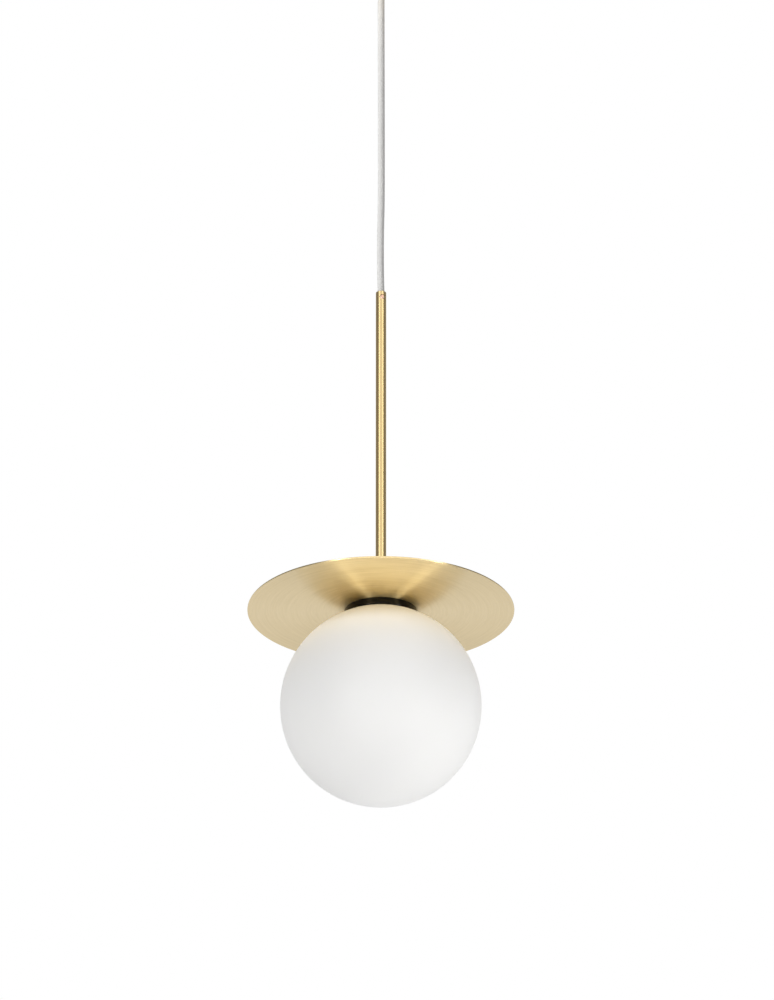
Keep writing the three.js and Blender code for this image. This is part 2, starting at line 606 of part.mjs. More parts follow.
function lampholder() {
  const edge = 0.8;
  const outline = [
    [0, HOLDER_BOTTOM], [HOLDER_RADIUS - edge, HOLDER_BOTTOM], [HOLDER_RADIUS, HOLDER_BOTTOM + edge],
    [HOLDER_RADIUS, HOLDER_TOP - edge], [HOLDER_RADIUS - edge, HOLDER_TOP], [0, HOLDER_TOP],
  ];
  const screwHoles = [-1, 1].flatMap((side) => {
    const y = side * HOLDER_SCREW_OFFSET;
    const bore = rod(SMALL_SCREW_RADIUS + HOLE_CLEARANCE, HOLDER_BOTTOM - 1, HOLDER_TOP + 1, 12);
    const counterbore = rod(2.9, HOLDER_BOTTOM - 1, HOLDER_BOTTOM + COUNTERBORE_DEPTH, 16);
    return [bore.translate(0, y, 0), counterbore.translate(0, y, 0)];
  });
  const pockets = [-1, 1].flatMap((side) => {
    const x = side * PIN_OFFSET;
    const slot = box([x - 1.9, -2.6, HOLDER_BOTTOM - 1], [x + 1.9, 2.6, HOLDER_BOTTOM + PIN_DEPTH + 2]);
    return [slot, rod(1.1, HOLDER_BOTTOM, HOLDER_TOP + 1, 12).translate(x, 0, 0)];
  });
  return cut(turned(outline, 32), ...screwHoles, ...pockets);
}

function holderScrew(side) {
  const head = HOLDER_BOTTOM + COUNTERBORE_DEPTH - FACE_GAP;
  const screw = panScrew(SMALL_SCREW_RADIUS, 2.6, 1.8, FOOT_TOP + 1 - head);
  return screw.translate(0, side * HOLDER_SCREW_OFFSET, head);
}

// A sprung clip in each pocket, open at the bottom, that grips one of the bulb's loops.
function contact(side) {
  const x = side * PIN_OFFSET;
  const low = HOLDER_BOTTOM + 2;
  const high = CONTACT_TOP;
  const block = box([x - 1.4, -2.2, low], [x + 1.4, 2.2, high]);
  const half = PIN_WIRE / 2 + HOLE_CLEARANCE;
  const channel = box([x - half, -3, low - 1], [x + half, 3, high - 0.7]);
  return cut(block, channel);
}

// A conductor from the cord's end to a contact, through the lampholder's top.
function lead(side) {
  const x = side * PIN_OFFSET;
  const route = [
    [side * 1.1, 0, CORD_END - HOLE_CLEARANCE], [side * 1.1, 0, CORD_END - 0.9],
    [side * 2.4, side * 0.6, CORD_END - 2.2],
    [x, side * 0.4, HOLDER_TOP + 1.2], [x, 0, HOLDER_TOP - 1.5], [x, 0, CONTACT_TOP + FACE_GAP],
  ];
  return swept(route, CONDUCTOR_DIAMETER / 2, 16);
}

function earthLead() {
  const tagEnd = TAG_TOP - TAG_THICKNESS - TAG_DROP;
  const route = [
    [0, 1.6, CORD_END - HOLE_CLEARANCE], [0, 1.6, CORD_END - 0.9], [2.5, 4, CORD_END - 2.2],
    [TAG_REACH - 3, 3.6, CORD_END - 0.8],
    [TAG_REACH + 0.6, 1.2, tagEnd - 1.4], [TAG_REACH + 1.2, 0, tagEnd + 0.8],
  ];
  return swept(route, CONDUCTOR_DIAMETER / 2, 14);
}

function lampholderParts() {
  add("holder_cap", holderCap(), "black");
  add("stem_washer", stemWasher(), "steel");
  add("lampholder_bracket", lampholderBracket(), "steel");
  add("earth_tag", earthTag(), "steel");
  add("stem_nut", hexNut(), "steel");
  add("lampholder", lampholder(), "ceramic");
  add("lampholder_screw_front", holderScrew(-1), "steel");
  add("lampholder_screw_back", holderScrew(1), "steel");
  add("contact_left", contact(-1), "brightBrass");
  add("contact_right", contact(1), "brightBrass");
  add("lead_live", lead(-1), "brown");
  add("lead_neutral", lead(1), "blue");
  add("lead_earth", earthLead(), "earth");
}

// ---- Globe ----
function glassGasket() {
  const inner = GLASS_MOUTH_DIAMETER / 2 - 0.2;
  return ring(inner, GASKET_DIAMETER / 2, GASKET_TOP - GASKET_THICKNESS, GASKET_TOP, 48);
}

// Height angle, in degrees, at which an ellipse of the given half sizes reaches a radius.
function angleAtRadius(halfWidth, radius) {
  return THREE.MathUtils.radToDeg(Math.acos(radius / halfWidth));
}

function globe() {
  const outer = [GLOBE_DIAMETER / 2, GLOBE_HEIGHT / 2];
  const inner = outer.map((half) => half - GLASS_THICKNESS);
  const centre = [0, GLOBE_CENTRE];
  const mouth = GLASS_MOUTH_DIAMETER / 2;
  const neckOutside = mouth + GLASS_THICKNESS;
  const neckBottom = GLASS_LIP - SKIRT_LENGTH;
  const lipAngle = THREE.MathUtils.radToDeg(Math.asin(LIP_SHARE));
  const outside = arc(centre, outer, -90, lipAngle, 14);
  outside[0][0] = 0;
  const threadWall = levels(GLASS_LIP, neckBottom, THREAD_STEP).map((z) => [mouth, z]);
  const inside = arc(centre, inner, angleAtRadius(inner[0], neckOutside), -90, 12);
  inside[inside.length - 1][0] = 0;
  const outline = [...outside, ...threadWall, [neckOutside, neckBottom], ...inside];
  return threaded(turned(outline, 40), mouth, neckBottom, GLASS_LIP, -1);
}

// ---- Bulb ----
const BASE_HEIGHT = 10;
const ENVELOPE_HEIGHT = 34;
const PIN_SOCKET_DEPTH = 3;

function bulbEnvelope() {
  const top = BULB_TOP - BASE_HEIGHT - FACE_GAP;
  const radius = BULB_DIAMETER / 2;
  const tip = arc([0, top - ENVELOPE_HEIGHT + radius], [radius, radius], -90, 0, 6);
  tip[0][0] = 0;
  return turned([...tip, [radius, top - 1], [radius - 1, top], [0, top]], 24);
}

function bulbBase() {
  const radius = BULB_DIAMETER / 2 - 1;
  const bottom = BULB_TOP - BASE_HEIGHT;
  const outline = [
    [0, bottom], [radius, bottom], [radius, bottom + 5], [radius - 1.2, bottom + 6.2],
    [radius - 1.2, BULB_TOP], [0, BULB_TOP],
  ];
  const sockets = [-1, 1].map((side) => {
    const x = side * PIN_OFFSET;
    return box([x - 0.6, -1.9, BULB_TOP - PIN_SOCKET_DEPTH], [x + 0.6, 1.9, BULB_TOP + 1]);
  });
  return cut(turned(outline, 24), ...sockets);
}

// A flat loop of wire that stands up from the bulb's base.
function bulbPin(side) {
  const x = side * PIN_OFFSET;
  const bottom = BULB_TOP - PIN_SOCKET_DEPTH + FACE_GAP;
  const top = HOLDER_BOTTOM + PIN_DEPTH - 1;
  const bend = 1.6;
  const half = PIN_WIRE / 2;
  const outer = join(
    box([x - half, -bend, bottom], [x + half, bend, top - bend]),
    rod(bend, x - half, x + half, 16).rotateY(Math.PI / 2).translate(0, 0, top - bend),
  );
  const gap = bend - PIN_WIRE - 0.1;
  const window = box([x - PIN_WIRE, -gap, BULB_TOP], [x + PIN_WIRE, gap, top - 2]);
  return cut(outer, window);
}

function globeAndBulb() {
  add("glass_gasket", glassGasket(), "rubber");
  add("globe", globe(), "opal");
  add("bulb_base", bulbBase(), "block");
  add("bulb_envelope", bulbEnvelope(), "frosted");
  add("bulb_pin_left", bulbPin(-1), "steel");
  add("bulb_pin_right", bulbPin(1), "steel");
}

ceilingFitting();
cords();
stemAndDisc();
lampholderParts();
globeAndBulb();

export default lamp;
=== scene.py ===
"""Looks of the pendant ceiling light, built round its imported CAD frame. All lengths are metres."""

import math

import bmesh
import bpy
from mathutils import Matrix, Vector
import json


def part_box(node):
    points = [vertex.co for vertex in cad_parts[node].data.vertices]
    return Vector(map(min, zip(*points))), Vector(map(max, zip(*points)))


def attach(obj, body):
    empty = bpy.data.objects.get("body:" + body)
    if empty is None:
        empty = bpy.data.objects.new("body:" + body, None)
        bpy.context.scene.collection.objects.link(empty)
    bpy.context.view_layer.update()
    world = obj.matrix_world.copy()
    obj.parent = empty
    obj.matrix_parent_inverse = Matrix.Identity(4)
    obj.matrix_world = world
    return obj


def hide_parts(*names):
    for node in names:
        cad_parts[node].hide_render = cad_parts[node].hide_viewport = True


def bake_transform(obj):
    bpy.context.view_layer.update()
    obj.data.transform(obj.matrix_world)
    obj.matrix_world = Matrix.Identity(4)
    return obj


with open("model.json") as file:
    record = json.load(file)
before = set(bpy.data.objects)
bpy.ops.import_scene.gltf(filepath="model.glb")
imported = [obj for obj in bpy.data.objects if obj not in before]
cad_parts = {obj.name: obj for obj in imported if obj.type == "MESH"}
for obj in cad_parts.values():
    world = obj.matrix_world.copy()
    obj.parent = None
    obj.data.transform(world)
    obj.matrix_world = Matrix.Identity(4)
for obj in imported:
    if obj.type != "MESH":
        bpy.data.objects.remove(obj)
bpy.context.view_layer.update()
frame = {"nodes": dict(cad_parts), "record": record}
MM = 0.001

# ---- Sizes read from the frame ----
DISC_LOW, DISC_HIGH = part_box("disc")
DISC_UNDERSIDE = DISC_LOW.z
DISC_TOP = DISC_HIGH.z
DISC_RADIUS = DISC_HIGH.x
STEM_LOW, STEM_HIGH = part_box("stem")
STEM_TOP = STEM_HIGH.z
STEM_RADIUS = STEM_HIGH.x
GLOBE_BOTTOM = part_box("globe")[0].z
GLASS_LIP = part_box("globe")[1].z
CAP_LOW, CAP_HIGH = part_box("holder_cap")
CUP_LOW, CUP_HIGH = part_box("ceiling_cup")
GRIP_LOW, GRIP_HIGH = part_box("grip_body")
CORD_TAIL_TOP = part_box("cord_tail")[1].z

# ---- Sizes that the frame's facets don't give exactly ----
GLOBE_RADIUS = 75 * MM
GLOBE_HALF_HEIGHT = 75.8 * MM
GLASS_THICKNESS = 3 * MM
GLASS_MOUTH_RADIUS = 16.5 * MM
THREAD_PITCH = 4 * MM
THREAD_DEPTH = 0.6 * MM
SKIRT_RADIUS = 15.4 * MM
SKIRT_WALL = 2.5 * MM
SKIRT_LENGTH = 10 * MM
CAP_RADIUS = 29 * MM
CAP_TOP_RADIUS = 27.5 * MM
APRON_CLEARANCE = 0.45 * MM
GASKET_RADIUS = 19.7 * MM
STEM_BORE_RADIUS = 3.2 * MM
STEM_HOLE_RADIUS = 4.15 * MM
SET_SCREW_RADIUS = 2 * MM
SET_SCREW_DROP = 5 * MM
SET_SCREW_TURN = math.radians(13.5)
CORD_RADIUS = 2.7 * MM
GRIP_RADIUS = 6.5 * MM
GRIP_BORE_RADIUS = 3 * MM
FRONT_SWING_PIVOT = GRIP_LOW.z - 3 * MM
GLOBE_CENTRE = GLOBE_BOTTOM + GLOBE_HALF_HEIGHT


# ---- Camera ----
CAMERA_ELEVATION = math.radians(-24.44)
CAMERA_DISTANCE = 5.0
CAMERA_TARGET = Vector((4.57 * MM, 0, DISC_UNDERSIDE + 91.6 * MM))
CAMERA_LENS = 238.5
CAMERA_REACH = 100


def make_camera():
    """The photograph's view: from five metres away, 24 degrees below the level of the target."""
    direction = Vector((0, -math.cos(CAMERA_ELEVATION), math.sin(CAMERA_ELEVATION)))
    data = bpy.data.cameras.new("camera")
    data.lens = CAMERA_LENS
    data.clip_end = CAMERA_REACH
    camera = bpy.data.objects.new("camera", data)
    camera.location = CAMERA_TARGET + CAMERA_DISTANCE * direction
    camera.rotation_euler = (-direction).to_track_quat("-Z", "Y").to_euler()
    bpy.context.scene.collection.objects.link(camera)
    bpy.context.scene.camera = camera


# ---- Mesh helpers ----
def link(obj):
    bpy.context.scene.collection.objects.link(obj)
    return obj


def mesh_object(name, vertices, faces):
    mesh = bpy.data.meshes.new(name)
    mesh.from_pydata(vertices, [], faces)
    mesh.update()
    return link(bpy.data.objects.new(name, mesh))


def shade(obj, degrees=32):
    """Smooth shading, with edges sharper than the angle kept crisp, and flats kept flat by face weight."""
    limit = math.radians(degrees)
    work = bmesh.new()
    work.from_mesh(obj.data)
    for face in work.faces:
        face.smooth = True
    for edge in work.edges:
        edge.smooth = len(edge.link_faces) == 2 and edge.calc_face_angle(0) < limit
    work.to_mesh(obj.data)
    work.free()
    weighted = obj.modifiers.new("flats", "WEIGHTED_NORMAL")
    weighted.keep_sharp = True
    return obj


def arc(centre, radii, start, end, steps):
    """Outline points (radius, height) of an arc between two angles in degrees."""
    angles = [math.radians(start + (end - start) * i / steps) for i in range(steps + 1)]
    return [(centre[0] + radii[0] * math.cos(a), centre[1] + radii[1] * math.sin(a)) for a in angles]


# Outline points closer to the axis than this are taken as lying on it.
POLE_RADIUS = 1e-7


def revolve(name, outline, sides, shift=None):
    """A body of revolution about the lamp's axis. Points at radius 0 become poles, and an outline
    that doesn't start at one is closed. shift(radius, height, angle) gives how far a point stands
    out, as for a thread."""
    vertices = []
    rings = []
    for radius, height in outline:
        if radius < POLE_RADIUS:
            rings.append([len(vertices)])
            vertices.append((0, 0, height))
            continue
        ring = []
        for i in range(sides):
            angle = 2 * math.pi * i / sides
            out = radius + (shift(radius, height, angle) if shift else 0)
            ring.append(len(vertices))
            vertices.append((out * math.cos(angle), out * math.sin(angle), height))
        rings.append(ring)
    pairs = list(zip(rings, rings[1:]))
    if len(rings[0]) > 1:
        pairs.append((rings[-1], rings[0]))
    faces = [face for low, high in pairs for face in band(low, high, sides)]
    return mesh_object(name, vertices, faces)


def band(low, high, sides):
    """The faces between two rings of vertices, either of which may be a single pole."""
    faces = []
    for i in range(sides):
        j = (i + 1) % sides
        if len(low) == 1:
            faces.append((low[0], high[j], high[i]))
        elif len(high) == 1:
            faces.append((low[i], low[j], high[0]))
        else:
            faces.append((low[i], low[j], high[j], high[i]))
    return faces


def cut_with(obj, tool):
    """Subtracts the tool from obj for good, and removes it."""
    modifier = obj.modifiers.new("cut", "BOOLEAN")
    modifier.operation = "DIFFERENCE"
    modifier.solver = "EXACT"
    modifier.object = tool
    bpy.context.view_layer.update()
    evaluated = obj.evaluated_get(bpy.context.evaluated_depsgraph_get())
    mesh = bpy.data.meshes.new_from_object(evaluated)
    obj.modifiers.clear()
    obj.data = mesh
    bpy.data.objects.remove(tool)
    return obj


def move(obj, matrix):
    obj.data.transform(matrix)
    return obj


def rod(name, radius, bottom, top, sides):
    return revolve(name, [(0, bottom), (radius, bottom), (radius, top), (0, top)], sides)


def block(name, low, high):
    """A box between two corners."""
    work = bmesh.new()
    size = Vector(high) - Vector(low)
    middle = (Vector(high) + Vector(low)) / 2
    bmesh.ops.create_cube(work, size=1, matrix=Matrix.Translation(middle) @ Matrix.Diagonal((*size, 1)))
    mesh = bpy.data.meshes.new(name)
    work.to_mesh(mesh)
    work.free()
    return link(bpy.data.objects.new(name, mesh))


def prism(name, across_flats, bottom, top):
    """A hexagonal rod, as a socket's cutter."""
    corner = across_flats / math.sqrt(3)
    return revolve(name, [(0, bottom), (corner, bottom), (corner, top), (0, top)], 6)


def aimed(height):
    """Takes the vertical axis to the front, a little to the right, at a height, as the set screws lie."""
    turn = Matrix.Rotation(SET_SCREW_TURN - math.pi / 2, 4, "Z")
    return Matrix.Translation((0, 0, height)) @ turn @ Matrix.Rotation(math.pi / 2, 4, "Y")


def place(obj, body, material, node):
    """Gives a finished piece its material and its body, and hides the CAD node it stands for."""
    obj.data.materials.clear()
    obj.data.materials.append(material)
    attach(obj, body)
    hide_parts(node)


# ---- Material helpers ----
class Shader:
    """A node material with its Principled BSDF, and short ways to add nodes to it. Where a texture
    drives the colour or the roughness, the plain value given here is only what lies under the link."""

    def __init__(self, name, color, **settings):
        self.material = bpy.data.materials.new(name)
        self.material.use_nodes = True
        self.tree = self.material.node_tree
        self.bsdf = self.tree.nodes["Principled BSDF"]
        self.set("Base Color", (*color, 1))
        for key, value in settings.items():
            self.set(key.replace("_", " "), value)
        self.coords = self.node("ShaderNodeTexCoord").outputs["Object"]

    def set(self, socket, value):
        self.bsdf.inputs[socket].default_value = value

    def join(self, source, target):
        self.tree.links.new(source, target)

    def node(self, kind, inputs=None, **attributes):
        """A new node; an input given as a socket is linked, any other is set."""
        node = self.tree.nodes.new(kind)
        for key, value in attributes.items():
            setattr(node, key, value)
        for key, value in (inputs or {}).items():
            if isinstance(value, bpy.types.NodeSocket):
                self.join(value, node.inputs[key])
            else:
                node.inputs[key].default_value = value
        return node

    def math(self, operation, first, second=0.0, third=0.0):
        return self.node("ShaderNodeMath", {0: first, 1: second, 2: third}, operation=operation).outputs[0]

    def noise(self, vector, scale, detail=2.0, roughness=0.5, distortion=0.0):
        inputs = {"Scale": scale, "Detail": detail, "Roughness": roughness, "Distortion": distortion}
        node = self.node("ShaderNodeTexNoise", inputs)
        self.join(vector, node.inputs["Vector"])
        return node.outputs["Fac"]

    def stretched_noise(self, scale, detail, roughness):
        """Noise with its own scale along each axis, for marks that run one way."""
        scaled = self.node("ShaderNodeMapping", {"Vector": self.coords, "Scale": scale})
        return self.noise(scaled.outputs["Vector"], 1.0, detail, roughness)

    def span(self, value, low, high, start, end):
        """Runs from low to high as value runs from start to end."""
        inputs = {"Value": value, "From Min": start, "From Max": end, "To Min": low, "To Max": high}
        return self.node("ShaderNodeMapRange", inputs).outputs["Result"]

    def color(self, value, first, second):
        """A colour that runs from first to second as value runs from 0 to 1. The mix node's colour
        sockets share their names with its other sockets, so they go by number."""
        node = self.node("ShaderNodeMix", data_type="RGBA")
        self.join(value, node.inputs[0])
        node.inputs[6].default_value = (*first, 1)
        node.inputs[7].default_value = (*second, 1)
        self.join(node.outputs[2], self.bsdf.inputs["Base Color"])

    def roughness(self, value, low, high, start=0.3, end=0.7):
        """Roughness from low to high. Most of a noise texture's values lie from 0.3 to 0.7."""
        self.join(self.span(value, low, high, start, end), self.bsdf.inputs["Roughness"])

    def bump(self, height, strength, distance):
        node = self.node("ShaderNodeBump", {"Height": height, "Strength": strength, "Distance": distance})
        self.join(node.outputs["Normal"], self.bsdf.inputs["Normal"])


def turning_marks(shader, ring_density, arc_density):
    """Coordinates for concentric marks about the lamp's axis that fade in and out along their circles."""
    parts = shader.node("ShaderNodeSeparateXYZ", {"Vector": shader.coords}).outputs
    square = shader.math("MULTIPLY", parts["X"], parts["X"])
    radius = shader.math("SQRT", shader.math("MULTIPLY_ADD", parts["Y"], parts["Y"], square))
    safe = shader.math("MAXIMUM", radius, 0.1 * MM)
    across = shader.math("MULTIPLY", shader.math("DIVIDE", parts["X"], safe), arc_density)
    along = shader.math("MULTIPLY", shader.math("DIVIDE", parts["Y"], safe), arc_density)
    rings = shader.math("MULTIPLY", shader.math("ADD", radius, parts["Z"]), ring_density)
    return shader.node("ShaderNodeCombineXYZ", {"X": across, "Y": along, "Z": rings}).outputs["Vector"]


# ---- Materials ----
BRASS = (0.80, 0.60, 0.29)
PALE_BRASS = (0.86, 0.68, 0.38)
DISC_DARK = (0.77, 0.585, 0.26)
DISC_LIGHT = (0.87, 0.68, 0.33)
DISC_MARK_SPAN = (0.38, 0.62)


def disc_brass():
    """Satin brass, brushed in circles on a lathe, under a thin lacquer."""
    shader = Shader("disc_brass", BRASS, Metallic=1.0, Roughness=0.36, Anisotropic=1.0)
    shader.set("Anisotropic Rotation", 0.25)
    shader.set("Coat Weight", 0.9)
    shader.set("Coat Roughness", 0.2)
    shader.set("Coat IOR", 2.0)
    tangent = shader.node("ShaderNodeTangent", direction_type="RADIAL", axis="Z")
    shader.join(tangent.outputs["Tangent"], shader.bsdf.inputs["Tangent"])
    fine = shader.noise(turning_marks(shader, 1500, 3.0), 1.0, detail=3.0, roughness=0.65)
    rings = shader.noise(turning_marks(shader, 520, 2.2), 1.0, distortion=0.4)
    broad = shader.noise(turning_marks(shader, 90, 1.5), 1.0)
    mixed = shader.math("MULTIPLY_ADD", rings, 0.5, shader.math("MULTIPLY", fine, 0.3))
    mixed = shader.math("MULTIPLY_ADD", broad, 0.2, mixed)
    shader.color(shader.span(mixed, 0, 1, *DISC_MARK_SPAN), DISC_DARK, DISC_LIGHT)
    shader.roughness(mixed, 0.32, 0.40, *DISC_MARK_SPAN)
    shader.bump(shader.math("ADD", fine, rings), strength=0.25, distance=0.04 * MM)
    return shader.material


def tube_brass():
    """Satin brass with faint draw marks, for the stem, the nut, the cup and the grip."""
    shader = Shader("tube_brass", BRASS, Metallic=1.0, Roughness=0.24)
    marks = shader.stretched_noise((2600, 2600, 90), detail=2.0, roughness=0.6)
    patches = shader.noise(shader.coords, 40)
    shader.color(patches, (0.77, 0.57, 0.27), (0.83, 0.63, 0.32))
    shader.roughness(marks, 0.22, 0.27)
    shader.bump(marks, strength=0.03, distance=0.01 * MM)
    return shader.material


def screw_brass():
    """Slightly coppery brass with a fine grain, for screws and terminals."""
    shader = Shader("screw_brass", PALE_BRASS, Metallic=1.0, Roughness=0.3)
    marks = shader.noise(shader.coords, 1800, detail=3.0, roughness=0.6)
    shader.color(marks, (0.72, 0.50, 0.38), (0.82, 0.60, 0.46))
    shader.roughness(marks, 0.34, 0.46)
    shader.bump(marks, strength=0.06, distance=0.03 * MM)
    return shader.material


def zinc_steel():
    """Zinc-plated steel: cool grey with faint spangle and rolling marks."""
    shader = Shader("zinc_steel", (0.62, 0.63, 0.65), Metallic=1.0, Roughness=0.36)
    spangle = shader.node("ShaderNodeTexVoronoi", {"Vector": shader.coords, "Scale": 260.0})
    marks = shader.stretched_noise((80, 1200, 1200), detail=3.0, roughness=0.6)
    shader.color(spangle.outputs["Color"], (0.56, 0.57, 0.60), (0.70, 0.71, 0.72))
    shader.roughness(marks, 0.28, 0.46)
    shader.bump(marks, strength=0.1, distance=0.03 * MM)
    return shader.material


def opal_glass():
    """Blown opal glass with a satin, acid-etched surface."""
    shader = Shader("opal_glass", (0.90, 0.895, 0.875), Roughness=0.5, IOR=1.5)
    shader.set("Specular IOR Level", 0.35)
    shader.set("Subsurface Weight", 0.25)
    shader.set("Subsurface Radius", (0.006, 0.006, 0.0055))
    shader.set("Subsurface Scale", 1.0)
    clouds = shader.noise(shader.coords, 14)
    grain = shader.noise(shader.coords, 2600, roughness=0.6)
    shader.color(clouds, (0.885, 0.88, 0.86), (0.915, 0.91, 0.895))
    shader.roughness(grain, 0.44, 0.54)
    shader.bump(grain, strength=0.05, distance=0.03 * MM)
    return shader.material


def gloss_black():
    """Black moulded plastic, glossy, with a faint orange-peel."""
    shader = Shader("gloss_black", (0.003, 0.003, 0.003), Roughness=0.14, IOR=1.5)
    shader.set("Specular IOR Level", 0.2)
    peel = shader.noise(shader.coords, 300)
    haze = shader.noise(shader.coords, 60, detail=3.0, roughness=0.6)
    shader.color(haze, (0.002, 0.002, 0.002), (0.005, 0.005, 0.005))
    shader.roughness(haze, 0.10, 0.22)
    shader.bump(peel, strength=0.08, distance=0.06 * MM)
    return shader.material


def gasket_rubber():
    """Matt black rubber."""
    shader = Shader("gasket_rubber", (0.02, 0.02, 0.02), Roughness=0.8)
    grain = shader.noise(shader.coords, 1500, detail=3.0, roughness=0.6)
    shader.color(grain, (0.014, 0.014, 0.015), (0.032, 0.032, 0.033))
    shader.roughness(grain, 0.7, 0.9)
    shader.bump(grain, strength=0.3, distance=0.05 * MM)
    return shader.material


def white_braid():
    """Braided cotton: pale yarns, a little uneven, soft at the edges."""
    shader = Shader("white_braid", (0.78, 0.775, 0.76), Roughness=0.85)
    shader.set("Sheen Weight", 0.25)
    shader.set("Sheen Roughness", 0.5)
    fibres = shader.stretched_noise((5200, 5200, 2600), detail=3.0, roughness=0.7)
    yarns = shader.noise(shader.coords, 900, roughness=0.6)
    shader.color(yarns, (0.66, 0.655, 0.64), (0.86, 0.855, 0.84))
    shader.roughness(fibres, 0.75, 0.95)
    shader.bump(fibres, strength=0.5, distance=0.12 * MM)
    return shader.material


def ceramic():
    """Unglazed steatite, as lampholders are pressed from."""
    shader = Shader("ceramic", (0.82, 0.80, 0.75), Roughness=0.5)
    specks = shader.noise(shader.coords, 1100, detail=4.0, roughness=0.65)
    shader.color(specks, (0.74, 0.72, 0.66), (0.87, 0.855, 0.81))
    shader.roughness(specks, 0.42, 0.62)
    shader.bump(specks, strength=0.2, distance=0.06 * MM)
    return shader.material


def white_plastic():
    """Moulded thermoplastic with a fine spark-eroded texture."""
    shader = Shader("white_plastic", (0.82, 0.815, 0.79), Roughness=0.42)
    grain = shader.noise(shader.coords, 2400, detail=3.0, roughness=0.6)
    clouds = shader.noise(shader.coords, 80)
    shader.color(clouds, (0.79, 0.785, 0.755), (0.85, 0.845, 0.825))
    shader.roughness(grain, 0.34, 0.52)
    shader.bump(grain, strength=0.2, distance=0.04 * MM)
    return shader.material


def frosted_cover():
    """The bulb's frosted cover."""
    shader = Shader("frosted_cover", (0.88, 0.875, 0.85), Roughness=0.38, IOR=1.5)
    shader.set("Subsurface Weight", 0.3)
    shader.set("Subsurface Radius", (0.004, 0.004, 0.0035))
    grain = shader.noise(shader.coords, 1800, roughness=0.6)
    shader.color(grain, (0.85, 0.845, 0.82), (0.91, 0.905, 0.885))
    shader.roughness(grain, 0.32, 0.46)
    shader.bump(grain, strength=0.06, distance=0.03 * MM)
    return shader.material


def insulation(name, dark, light):
    """Soft PVC wire insulation, slightly waxy, with long draw marks."""
    shader = Shader(name, light, Roughness=0.4)
    marks = shader.stretched_noise((1400, 1400, 300), detail=2.0, roughness=0.6)
    shader.color(marks, dark, light)
    shader.roughness(marks, 0.32, 0.5)
    shader.bump(marks, strength=0.15, distance=0.04 * MM)
    return shader.material


# ---- Cord ----
# The hanging cord's route, as in the solids: height above the stem's mouth, and sideways offset.
CORD_ROUTE = (
    (0, 0), (0.008, -0.0002), (0.016, -0.00036), (0.026, -0.00045), (0.038, -0.00046), (0.050, -0.00038),
    (0.060, -0.0002), (0.070, 0.00002), (0.080, 0.00015), (0.092, 0.0002), (0.110, 0.00021),
    (0.130, 0.0002), (0.150, 0.00018), (0.175, 0.00014), (0.200, 0.00008), (0.225, 0.00003),
    (0.245, 0), (0.2656, 0),
)


def bow(z):
    """Sideways offset of the hanging cord at a height, along one smooth curve through its route."""
    height = z - STEM_TOP
    if height <= 0 or height >= CORD_ROUTE[-1][0]:
        return 0.0
    after = next(i for i, point in enumerate(CORD_ROUTE) if point[0] >= height)
    before = after - 1
    h0, x0 = CORD_ROUTE[max(before - 1, 0)]
    h1, x1 = CORD_ROUTE[before]
    h2, x2 = CORD_ROUTE[after]
    h3, x3 = CORD_ROUTE[min(after + 1, len(CORD_ROUTE) - 1)]
    share = (height - h1) / (h2 - h1)
    slope1 = (x2 - x0) / (h2 - h0) * (h2 - h1)
    slope2 = (x3 - x1) / (h3 - h1) * (h2 - h1)
    square = share * share
    cube = square * share
    return (
        (2 * cube - 3 * square + 1) * x1 + (cube - 2 * square + share) * slope1
        + (3 * square - 2 * cube) * x2 + (cube - square) * slope2
    )


BRAID_YARNS = 8
BRAID_LAY = 9 * MM
BRAID_RELIEF = 0.16 * MM
BRAID_STEP = 0.42 * MM
HIDDEN_STEP = 5 * MM
FINE_DEPTH = 25 * MM
CORD_START = 0.3 * MM


def braid_relief(z, angle):
    """Depth of a two-way braid: yarns of both hands wind round the cord and pass over each other."""
    turn = 2 * math.pi * z / BRAID_LAY
    right = math.cos(BRAID_YARNS * (angle + turn) / 2)
    left = math.cos(BRAID_YARNS * (angle - turn) / 2)
    over = 0.5 + 0.5 * right * left
    ridge = abs(right) * over + abs(left) * (1 - over)
    return -BRAID_RELIEF * (1 - ridge)


def levels(start, end, step):
    """Evenly spaced heights from start to end, about a step apart."""
    count = max(1, round(abs(end - start) / step))
    return [start + (end - start) * i / count for i in range(count + 1)]


def dome(height, start, end, steps=6):
    """Outline points of a quarter ball that ends a cord. The widest level is left to the cord itself."""
    points = arc((0, height), (CORD_RADIUS, CORD_RADIUS), start, end, steps)
    return points[:-1] if end == 0 else points[1:]


def braided_cord(name, heights, low_dome, high_dome, sides=48):
    """A braided tube whose rings follow the heights, with domed or flat ends."""
    first, last = heights[0], heights[-1]
    rings = dome(first, -90, 0) if low_dome else [(0, first)]
    rings += [(CORD_RADIUS, z) for z in heights]
    rings += dome(last, 0, 90) if high_dome else [(0, last)]
    obj = revolve(name, rings, sides, lambda radius, z, angle: braid_relief(z, angle) * radius / CORD_RADIUS)
    for vertex in obj.data.vertices:
        vertex.co.x += bow(vertex.co.z)
    for polygon in obj.data.polygons:
        polygon.use_smooth = True
    return obj


def make_hanging_cord(braid):
    """The cord from the stem's mouth to the front swing's pivot."""
    heights = levels(STEM_TOP + CORD_START, FRONT_SWING_PIVOT, BRAID_STEP)
    hanging = braided_cord("hanging_cord", heights, False, True)
    hanging.data.materials.append(braid)
    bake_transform(hanging)
    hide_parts("cord", "cord_top")


